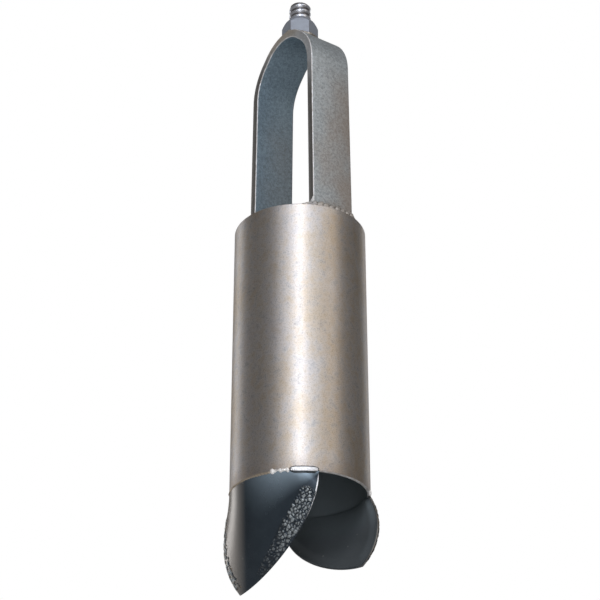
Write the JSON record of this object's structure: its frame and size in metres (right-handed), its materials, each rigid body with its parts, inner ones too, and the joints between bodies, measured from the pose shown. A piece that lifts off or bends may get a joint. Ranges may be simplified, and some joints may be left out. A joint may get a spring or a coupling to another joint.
{
  "type": "soil auger",
  "caption": "Soil auger head: a steel bucket tube with two curved cutting bits below and a flat-bar bail above, ending in a threaded stud for a drive rod.",
  "frame": {"origin": "on the auger's axis, where the threaded stud leaves its conical shoulder", "axes": "+Z along the axis, up out of the stud; X across the bail, from leg to leg; Y across the mouth between the bits"},
  "size_m": [0.0958, 0.0902, 0.4393],
  "materials": {
    "bucket_steel": "satin, ground round the tube",
    "bail_steel": "hot rolled mill scale",
    "stud_zinc": "bright zinc plate",
    "bit_steel": "dark hardened scale",
    "weld_steel": "weld bead, heat tinted",
    "facing_steel": "rough weld overlay"
  },
  "bodies": {
    "root": {"bucket_tube": "bucket_steel", "bail": "bail_steel", "hex_stud": "stud_zinc", "stud_weld": "weld_steel", "bail_weld_right": "weld_steel", "bail_weld_left": "weld_steel", "cutting_bit_front": "bit_steel", "cutting_bit_rear": "bit_steel", "bit_weld_front": "weld_steel", "bit_weld_rear": "weld_steel", "lower_facing_front": "facing_steel", "lower_facing_rear": "facing_steel", "lead_facing_front": "facing_steel", "lead_facing_rear": "facing_steel"}
  },
  "joints": []
}
